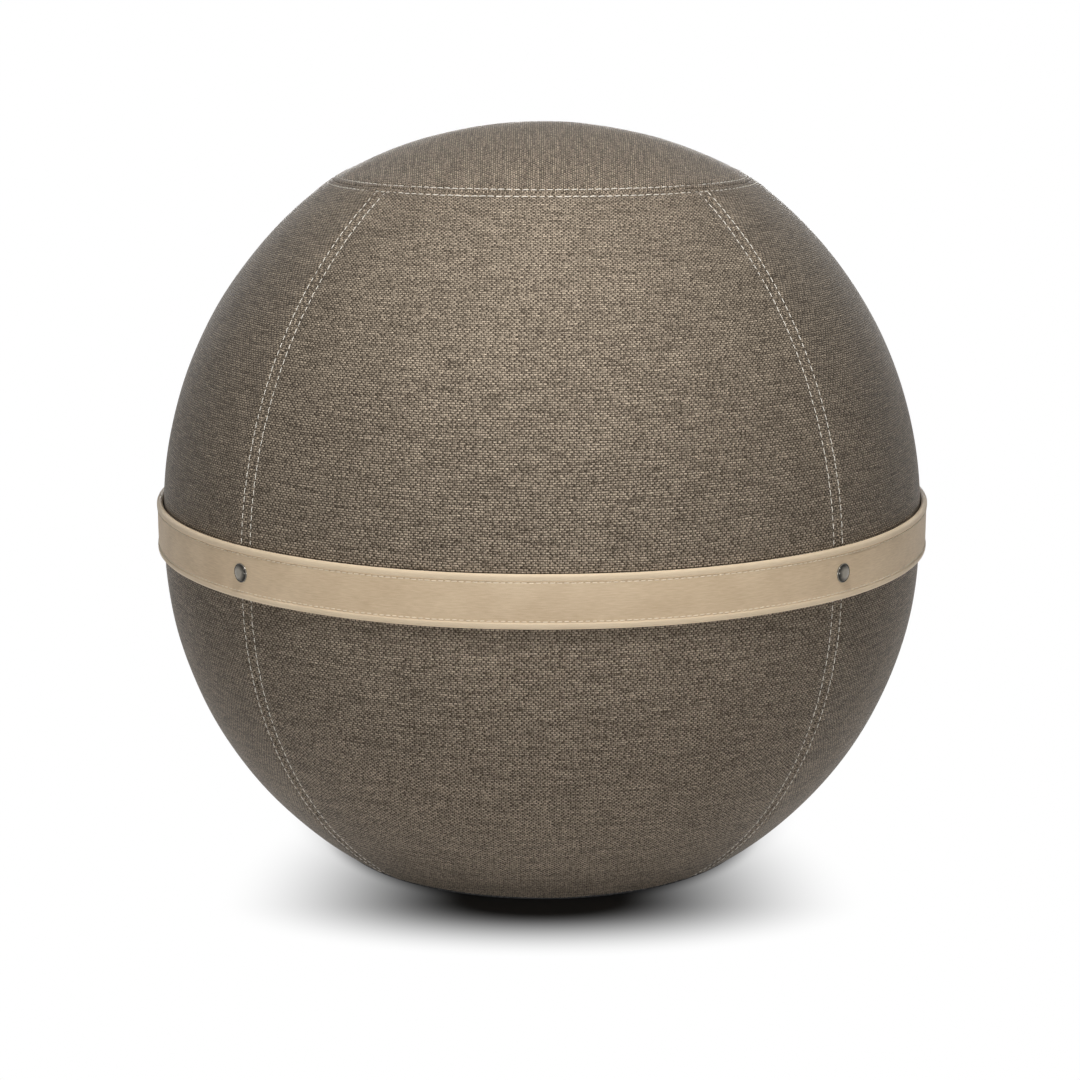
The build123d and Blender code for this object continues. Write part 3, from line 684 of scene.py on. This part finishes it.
def weave_group():
    """Plain weave: rows of weft, each set off by half a float from the next, over darker warp.

    A row is a ridge that is highest along its floats, where the weft lies over the warp. Between the rows the
    dark warp colour shows, as the warp yarn and as painted shade in those gaps. The weft's tone is drawn per
    float, per yarn, from streaks along it, from bands along the warp and from fibres.
    """
    inputs = {"Place": "Vector", "Float Length": "Float", "Row Height": "Float"}
    inputs |= {"Light": "Color", "Mid": "Color", "Dark": "Color"}
    net, starts, end = new_group("plain_weave", inputs, {"Color": "Color", "Height": "Float"})
    place, float_length, row_height, light, mid, dark = starts
    wander = net.noise(place, 60.0, 2.0, "Color")
    place = net.vector("MULTIPLY_ADD", wander, (0.0016, 0.0006, 0), place)
    x = net.axis(place, "X")
    row_place = net.math("DIVIDE", net.axis(place, "Y"), row_height)
    row = net.math("FLOOR", row_place)
    half = net.scale(net.math("FLOORED_MODULO", row, 2.0), 0.5)
    float_place = net.math("ADD", net.math("DIVIDE", x, float_length), half)
    cell = net.add("ShaderNodeCombineXYZ", X=net.math("FLOOR", float_place), Y=row)
    drawn = net.add("ShaderNodeTexWhiteNoise", "Color", {"noise_dimensions": "2D"}, Vector=cell)
    lots = [net.add("ShaderNodeSeparateColor", i, Color=drawn) for i in range(3)]
    yarn = net.add("ShaderNodeCombineXYZ", X=net.scale(x, 42.0), Y=net.scale(row, 7.31))
    per_yarn = net.noise(yarn, 1.0, 1.0)
    streak = net.stretched(place, 60.0, 520.0, 2.0)
    fx = net.scale(lots[0], 0.2, net.math("SUBTRACT", net.math("FRACT", float_place), 0.6))
    fy = net.scale(lots[1], 0.14, net.math("SUBTRACT", net.math("FRACT", row_place), 0.57))
    reach = net.scale(lots[2], 0.1, 0.34)
    along = net.math("POWER", net.math("ABSOLUTE", net.math("DIVIDE", fx, reach)), 2.4)
    across = net.math("POWER", net.math("ABSOLUTE", net.math("DIVIDE", fy, 0.38)), 2.0)
    ridge = net.math("MAXIMUM", net.math("SUBTRACT", 1.0, across), 0.0)
    over = net.remap(net.math("SUBTRACT", 1.0, along), -0.2, 0.45)
    band = net.stretched(place, 300.0, 26.0, 1.0)
    fibre = net.stretched(place, 650.0, 1100.0, 1.0)
    tone = 0.0
    for share, value in ((0.2, lots[0]), (0.65, per_yarn), (0.1, streak), (0.14, band), (1.4, fibre)):
        tone = net.scale(value, share, tone)
    weft = net.mix(net.remap(tone, 0.88, 1.74), mid, light)
    warp = net.mix(net.scale(streak, 0.4), dark, mid)
    thread = net.mix(net.scale(over, 0.9, 0.1), warp, weft)
    # Painted shade: the gaps between rows take the dark warp colour
    shown = net.mix(net.scale(net.remap(ridge, 0.0, 0.45), 0.7, 0.3), warp, thread)
    height = net.scale(ridge, net.scale(over, 0.45, 0.55))
    net.feed(end, Color=shown, Height=height)
    return net.tree


def grain_group():
    """Leather-like grain: fine streaks along the strip, soft mottling and small pores."""
    inputs = {"Place": "Vector", "Base": "Color", "Pale": "Color"}
    outputs = {"Color": "Color", "Height": "Float", "Roughness": "Float"}
    net, (place, base, pale), end = new_group("belt_grain", inputs, outputs)
    streak = net.stretched(place, 140.0, 1300.0, 3.0)
    mottle = net.stretched(place, 28.0, 40.0, 2.0)
    pores = net.noise(place, 1900.0, 2.0)
    tone = net.scale(streak, 0.8, net.scale(mottle, 0.7))
    tone = net.remap(net.scale(pores, 0.25, tone), 0.64, 1.21)
    height = net.scale(streak, 0.6, pores)
    net.feed(end, Color=net.mix(tone, base, pale), Height=height, Roughness=net.scale(pores, 0.2, 0.5))
    return net.tree


def new_material(name):
    """Material with its net and its Principled shader."""
    material = bpy.data.materials.new(name)
    material.use_nodes = True
    return material, Net(material.node_tree), material.node_tree.nodes["Principled BSDF"]


def toned(shade, factor):
    """Colour made darker or paler."""
    return [min(1, factor * part) for part in shade]


def relief(net, shader, height, distance, strength=1.0):
    """Feeds a height to the shader's normal through a Bump node, with the distance of its full rise."""
    net.feed(shader, Normal=net.add("ShaderNodeBump", Height=height, Distance=distance, Strength=strength))


def grouped(net, tree, **inputs):
    """Places a group and gives its outputs."""
    node = net.tree.nodes.new("ShaderNodeGroup")
    node.node_tree = tree
    net.feed(node, **inputs)
    return node.outputs


def cloth_material(colours, weave):
    """Mottled plain weave of the cover, matt, with a relief that fades where the cloth turns away."""
    material, net, shader = new_material("cover_weave")
    yarns = {"Light": colours.weft_light, "Mid": colours.weft_mid, "Dark": colours.warp_and_gap_shade}
    cloth = grouped(net, weave, Place=net.place("UV"), Float_Length=3 * MM, Row_Height=1.5 * MM, **yarns)
    away = net.add("ShaderNodeLayerWeight", "Facing", Blend=0.5)
    shown = net.add("ShaderNodeMapRange", Value=away, From_Min=0.65, From_Max=0.92, To_Min=1.0, To_Max=0.1)
    relief(net, shader, cloth["Height"], 0.35 * MM, shown)
    net.feed(shader, Base_Color=cloth["Color"], Roughness=0.55)
    net.feed(shader, Specular_IOR_Level=0.1, Specular_Tint=(1.0, 0.78, 0.58))
    net.feed(shader, Sheen_Weight=0.05, Sheen_Roughness=0.3, Sheen_Tint=(0.95, 0.92, 0.9))
    return material


def tape_material(colours, weave):
    """Finer and darker weave of the zip's tapes."""
    material, net, shader = new_material("zip_tape_weave")
    shade = colours.zip_tape
    yarns = {"Light": toned(shade, 2.1), "Mid": shade, "Dark": toned(shade, 0.5)}
    cloth = grouped(net, weave, Place=net.place("UV"), Float_Length=1.1 * MM, Row_Height=0.7 * MM, **yarns)
    net.feed(shader, Base_Color=cloth["Color"], Roughness=0.8)
    relief(net, shader, cloth["Height"], 0.15 * MM)
    return material


def leather_material(colours, belt, grain):
    """Pale grained face of the belt, paler over its rolled edges, with a painted sheen that pales the colour
    where the face turns away from view.
    """
    material, net, shader = new_material("belt_leather_grain")
    place = net.place("UV")
    skin = grouped(net, grain, Place=place, Base=colours.leather, Pale=colours.leather_pale)
    row = belt.height / 2 - belt.row_offset
    across = net.math("ABSOLUTE", net.axis(place, "Y"))
    edge = net.scale(net.remap(across, row - 0.3 * MM, row + 0.5 * MM), 0.45)
    shade = net.mix(edge, skin["Color"], colours.leather_edge)
    # Painted sheen: the colour grows paler as the face turns away from view
    painted_sheen = net.scale(net.add("ShaderNodeLayerWeight", "Facing", Blend=0.5), 0.75, 0.945)
    shade = net.add("ShaderNodeHueSaturation", Value=painted_sheen, Color=shade)
    net.feed(shader, Base_Color=shade, Roughness=skin["Roughness"])
    net.feed(shader, Specular_IOR_Level=0.35, Sheen_Weight=0.15)
    relief(net, shader, skin["Height"], 0.12 * MM)
    return material


def thread_material(name, shade):
    """Twisted thread: slanted ribs along each stitch."""
    material, net, shader = new_material(name)
    slanted = {"bands_direction": "DIAGONAL"}
    twist = net.add("ShaderNodeTexWave", 0, slanted, Vector=net.place("UV"), Scale=900.0, Distortion=0.5)
    net.feed(shader, Base_Color=net.mix(twist, toned(shade, 0.85), shade), Roughness=0.6)
    relief(net, shader, twist, 0.08 * MM)
    return material


def metal_material(colours):
    """Dark polished metal with faint cloudy wear."""
    material, net, shader = new_material("gunmetal_polish")
    cloud = net.noise(net.place("Object"), 420.0, 4.0)
    shade = net.mix(cloud, toned(colours.gunmetal, 0.8), colours.gunmetal)
    net.feed(shader, Base_Color=shade, Roughness=net.scale(cloud, 0.16, 0.2), Metallic=1.0)
    return material


def rivet_material(colours, belt):
    """Nickel rivets, with painted shade: a dark band across the dome's lower flanks, and nickel on the crown
    and the rim.
    """
    material, net, shader = new_material("rivet_nickel")
    head = belt.rivet_diameter / 2
    reach = net.vector("LENGTH", net.place("UV"), out="Value")
    cloud = net.noise(net.place("Object"), 420.0, 4.0)
    # Painted shade: a dark band from about half the head's radius to the dome's foot, in the gunmetal colour
    dark = net.remap(net.scale(cloud, 0.25 * head, reach), 0.55 * head, 0.9 * head)
    rim = net.remap(reach, 0.9 * head, 0.96 * head)
    shade = net.mix(rim, net.mix(dark, colours.nickel, colours.gunmetal), colours.nickel)
    net.feed(shader, Base_Color=shade, Roughness=net.scale(cloud, 0.12, 0.14), Metallic=1.0)
    return material


def moulded_material(name, shade, roughness, scale, distance):
    """Moulded or coated stuff: small uneven grain in colour, gloss and relief."""
    material, net, shader = new_material(name)
    grain = net.noise(net.place("Object"), scale, 3.0)
    gloss = net.scale(grain, 0.2, roughness - 0.1)
    net.feed(shader, Base_Color=net.mix(grain, toned(shade, 0.75), shade), Roughness=gloss)
    relief(net, shader, grain, distance)
    return material


def base_material(colours):
    """Coated base cloth with rows of small grip dots."""
    material, net, shader = new_material("base_grip_dots")
    flat = {"voronoi_dimensions": "2D"}
    cells = net.add("ShaderNodeTexVoronoi", 0, flat, Vector=net.place("UV"), Scale=210.0, Randomness=0.0)
    dots = net.remap(cells, 0.36, 0.26)
    shade = net.mix(dots, colours.base, toned(colours.base, 1.6))
    net.feed(shader, Base_Color=shade, Roughness=net.scale(dots, -0.25, 0.8))
    relief(net, shader, dots, 0.4 * MM)
    return material


# Finishes inside the cover: name, colour, roughness, scale and depth in millimetres of the grain, nodes
INSIDE = (
    ("seam_tape_cotton", (0.10, 0.09, 0.08), 0.9, 1400.0, 0.1, ("seam_tape_top", "seam_tapes_side")),
    ("belt_core_board", (0.30, 0.22, 0.15), 0.8, 700.0, 0.1, ("belt_core",)),
    ("belt_lining_cloth", (0.40, 0.32, 0.24), 0.9, 1200.0, 0.1, ("belt_lining",)),
    ("bladder_skin", (0.30, 0.31, 0.32), 0.45, 160.0, 0.1, ("bladder",)),
    ("valve_rubber", (0.05, 0.05, 0.05), 0.7, 800.0, 0.05, ("valve_seat",)),
    ("plug_plastic", (0.8, 0.8, 0.78), 0.35, 500.0, 0.02, ("valve_plug",)),
    ("ballast_cloth", (0.04, 0.04, 0.04), 0.9, 1200.0, 0.15, ("ballast_pouch_top", "ballast_pouch_base")),
    ("ballast_sand", (0.5, 0.42, 0.3), 0.95, 2200.0, 0.3, ("ballast_fill",)),
)


def finish_nodes(material, *nodes):
    """Puts a finish on pieces that come as they are from the frame."""
    for node in nodes:
        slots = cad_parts[node].data.materials
        slots.clear()
        slots.append(material)


# Operators


class BALL_OT_cover(bpy.types.Operator):
    """Sew the four side panels and the round top panel"""

    bl_idname = "sitting_ball.cover"
    bl_label = "Cover panels"

    def execute(self, context):
        f = ball_form(context.scene)
        material = cloth_material(f.colours, weave_group())
        for i, name in enumerate(SIDES):
            panel = side_panel(f"{name}_panel_cloth", i, f)
            place_piece(panel, material, nodes=[f"cover_{name}_panel"])
        top = top_panel("top_panel_cloth", f)
        place_piece(top, material, nodes=["cover_top_panel"])
        return {"FINISHED"}


class BALL_OT_base(bpy.types.Operator):
    """Lay the coated base panel"""

    bl_idname = "sitting_ball.base"
    bl_label = "Base panel"

    def execute(self, context):
        f = ball_form(context.scene)
        base = base_panel("base_panel_cloth", f)
        place_piece(base, base_material(f.colours), nodes=["cover_base_panel"])
        return {"FINISHED"}


class BALL_OT_belt(bpy.types.Operator):
    """Wrap the belt with its rolled edges"""

    bl_idname = "sitting_ball.belt"
    bl_label = "Belt"

    def execute(self, context):
        f = ball_form(context.scene)
        strip = belt_strip("belt_face_leather", f)
        material = leather_material(f.colours, f.belt, grain_group())
        place_piece(strip, material, nodes=["belt_face"])
        return {"FINISHED"}


class BALL_OT_stitches(bpy.types.Operator):
    """Sew the twin rows of the cover and the rows of the belt"""

    bl_idname = "sitting_ball.stitches"
    bl_label = "Stitches"

    def execute(self, context):
        f = ball_form(context.scene)
        seams = stitches("cover_stitches", side_rows(f) + ring_rows(f), f.cover, depth=0.28 * MM, seed=11)
        place_piece(seams, thread_material("cover_thread", f.colours.thread))
        edges = stitches("belt_stitches", belt_rows(f), f.belt, depth=0.1 * MM, seed=12)
        place_piece(edges, thread_material("belt_thread", f.colours.belt_thread))
        return {"FINISHED"}


class BALL_OT_rivets(bpy.types.Operator):
    """Set the domed rivets on the belt and finish the other metal"""

    bl_idname = "sitting_ball.rivets"
    bl_label = "Rivets"

    def execute(self, context):
        f = ball_form(context.scene)
        caps = domes("rivet_domes", f)
        place_piece(caps, rivet_material(f.colours, f.belt), nodes=["rivet_caps"])
        finish_nodes(metal_material(f.colours), "rivet_backs", "zip_slider", "zip_pull")
        return {"FINISHED"}


class BALL_OT_zip(bpy.types.Operator):
    """Set the zip's tapes in the mouth of the back seam and finish its teeth"""

    bl_idname = "sitting_ball.zip"
    bl_label = "Zip"

    def execute(self, context):
        f = ball_form(context.scene)
        material = tape_material(f.colours, bpy.data.node_groups["plain_weave"])
        for name, side in (("back", 1), ("right", -1)):
            tape = zip_tape(f"zip_{name}_tape_cloth", side, f)
            place_piece(tape, material, nodes=[f"zip_tape_{name}"])
        teeth = moulded_material("zip_teeth_moulded", f.colours.zip_teeth, 0.4, 900.0, 0.03 * MM)
        finish_nodes(teeth, "zip_teeth_back", "zip_teeth_right", "zip_stops")
        return {"FINISHED"}


class BALL_OT_inside(bpy.types.Operator):
    """Finish the pieces inside the cover"""

    bl_idname = "sitting_ball.inside"
    bl_label = "Inside"

    def execute(self, context):
        for name, shade, roughness, scale, depth, nodes in INSIDE:
            finish_nodes(moulded_material(name, shade, roughness, scale, depth * MM), *nodes)
        return {"FINISHED"}


# Studio: the floor's ring radii, the point that the lamps face, and each lamp's name, place, size and power
FLOOR_RINGS = (8.0, 0.5, 0.15)
LAMP_AIM = Vector((0, 0, 0.26))
LAMPS = (
    ("key_softbox", (0.01, -0.53, 0.85), (0.2, 0.16), 3.7),
    ("front_fill", (0, -2.6, 0.12), (1.0, 0.2), 25),
    ("back_fill", (0, 2.6, 0.5), (1.4, 0.6), 38),
    ("under_fill", (0.5, -0.9, -2.0), (1.0, 1.0), 26),
    ("left_strip", (-1.0, 1.7, 0.9), (0.4, 1.3), 2),
    ("right_strip", (1.0, 1.7, 0.9), (0.4, 1.3), 2),
)
# Camera: its place and how far it looks down, in degrees
CAMERA_PLACE = (0, -1.7217, 0.6025)
CAMERA_TILT = 11.97
# Floor: the distances over which the painted shadow goes over to white, round the ball, behind it and in
# front
SHADOW_EDGE = (0.142, 0.168)
SHADOW_BACK = (0.11, 0.2)
SHADOW_FRONT = (0.024, 0.104)
# Middle of the painted shadow behind the ball, and place, narrowing and back slope of the painted shadow pool
# before it
BACK_MIDDLE = (0, 0.05, 0)
POOL_PLACE = 0.155
POOL_NARROWING = 0.46
POOL_SLOPE = 0.35


class BALL_OT_stage(bpy.types.Operator):
    """Set the floor, the studio light and the camera"""

    bl_idname = "sitting_ball.stage"
    bl_label = "Stage"

    def execute(self, context):
        scene = context.scene
        scene.view_settings.view_transform = "Standard"
        points = turned(np.array(FLOOR_RINGS)[:, None], ring(FLOOR_SIDES), 0)
        floor = new_piece("floor", points, [grid_faces(len(FLOOR_RINGS), FLOOR_SIDES, closed=True)])
        floor.data.materials.append(floor_material())
        white_world(scene)
        for lamp in LAMPS:
            soft_light(*lamp)
        camera = bpy.data.cameras.new("camera")
        camera.lens = 79.61
        camera.sensor_width = 36
        camera.shift_x = -0.00179
        camera.shift_y = -0.01908
        stand = bpy.data.objects.new("camera", camera)
        stand.location = CAMERA_PLACE
        stand.rotation_euler = (radians(90 - CAMERA_TILT), 0, 0)
        scene.collection.objects.link(stand)
        scene.camera = stand
        return {"FINISHED"}


def seen_directly(net):
    """1 on rays from the camera and on those that metal or clear pieces send on, otherwise 0."""
    rays = [net.add("ShaderNodeLightPath", f"Is {kind} Ray") for kind in ("Camera", "Glossy", "Transmission")]
    return net.math("MAXIMUM", net.math("MAXIMUM", rays[0], rays[1]), rays[2])


def faded(net, place, span, middle=(0, 0, 0)):
    """Smooth step from 0 to 1 over a span of distances from a middle."""
    reach = net.vector("DISTANCE", place, middle, out="Value")
    smooth = {"interpolation_type": "SMOOTHSTEP"}
    return net.add("ShaderNodeMapRange", 0, smooth, Value=reach, From_Min=span[0], From_Max=span[1])


def floor_material():
    """White floor with a painted shadow: near the ball the camera sees it nearly black, further out plain
    white.

    It is clear from below, and open under the base, so that the base can be seen.
    """
    material, net, shader = new_material("floor_with_painted_shadow")
    nodes = material.node_tree.nodes
    nodes.remove(shader)
    place = net.place("Object")
    across = net.scale(net.axis(place, "X"), POOL_NARROWING)
    ahead = net.math("ADD", net.axis(place, "Y"), POOL_PLACE)
    ahead = net.math("MAXIMUM", net.scale(ahead, -1.0), net.scale(ahead, POOL_SLOPE))
    front = faded(net, net.add("ShaderNodeCombineXYZ", X=across, Y=ahead), SHADOW_FRONT)
    behind = faded(net, place, SHADOW_BACK, BACK_MIDDLE)
    far = net.scale(faded(net, place, SHADOW_EDGE), net.scale(behind, front))
    seen = seen_directly(net)
    # Painted shadow: inside the masks the camera sees the floor at 0.07, while other rays see 0.85
    matt = net.add("ShaderNodeBsdfDiffuse", Color=net.mix(seen, (0.85, 0.85, 0.85), (0.07, 0.07, 0.07)))
    white = net.add("ShaderNodeEmission", Color=(1, 1, 1), Strength=1.0)
    blend = net.add("ShaderNodeMixShader", i0=net.scale(far, seen), i1=matt, i2=white)
    below = net.add("ShaderNodeNewGeometry", "Backfacing")
    clear = net.add("ShaderNodeBsdfTransparent")
    net.feed(nodes["Material Output"], Surface=net.add("ShaderNodeMixShader", i0=below, i1=blend, i2=clear))
    return material


def white_world(scene):
    """Soft even light from all round, seen by the camera as plain white."""
    world = bpy.data.worlds.new("white_studio")
    world.use_nodes = True
    net = Net(world.node_tree)
    share = net.add("ShaderNodeMapRange", Value=seen_directly(net), To_Min=0.075, To_Max=1.0)
    net.feed(world.node_tree.nodes["Background"], Color=(1, 1, 1), Strength=share)
    scene.world = world


def soft_light(name, place, size, power):
    """Rectangular soft light that faces the ball."""
    data = bpy.data.lights.new(name, "AREA")
    data.shape = "RECTANGLE"
    data.size, data.size_y = size
    data.energy = power
    light = bpy.data.objects.new(name, data)
    light.location = place
    light.rotation_euler = (Vector(place) - LAMP_AIM).to_track_quat("Z", "Y").to_euler()
    bpy.context.scene.collection.objects.link(light)


class BALL_PT_panel(bpy.types.Panel):
    """Sizes, colours and steps of the sitting ball"""

    bl_idname = "BALL_PT_panel"
    bl_label = "Sitting ball"
    bl_space_type = "VIEW_3D"
    bl_region_type = "UI"
    bl_category = "Sitting ball"

    def draw(self, context):
        for step in STEPS:
            self.layout.operator(step.bl_idname)
        for group in GROUPS:
            box = self.layout.box()
            box.label(text=GROUPS[group].__doc__)
            for name in GROUPS[group].__annotations__:
                box.prop(getattr(context.scene, group), name, text=name.replace("_", " ").capitalize())


STEPS = (BALL_OT_cover, BALL_OT_base, BALL_OT_belt, BALL_OT_stitches)
STEPS += (BALL_OT_rivets, BALL_OT_zip, BALL_OT_inside, BALL_OT_stage)
GROUPS = {
    "ball_cover": BallCoverSizes,
    "ball_belt": BallBeltSizes,
    "ball_zip": BallZipSizes,
    "ball_colours": BallColours,
}
CLASSES = (*GROUPS.values(), *STEPS, BALL_PT_panel)


def register():
    for kind in CLASSES:
        bpy.utils.register_class(kind)
    for name, group in GROUPS.items():
        setattr(bpy.types.Scene, name, PointerProperty(type=group))


def unregister():
    for name in GROUPS:
        delattr(bpy.types.Scene, name)
    for kind in reversed(CLASSES):
        bpy.utils.unregister_class(kind)


def main():
    """Runs every step in order."""
    register()
    for step in STEPS:
        group, name = step.bl_idname.split(".")
        getattr(getattr(bpy.ops, group), name)()


if __name__ == "__main__":
    main()
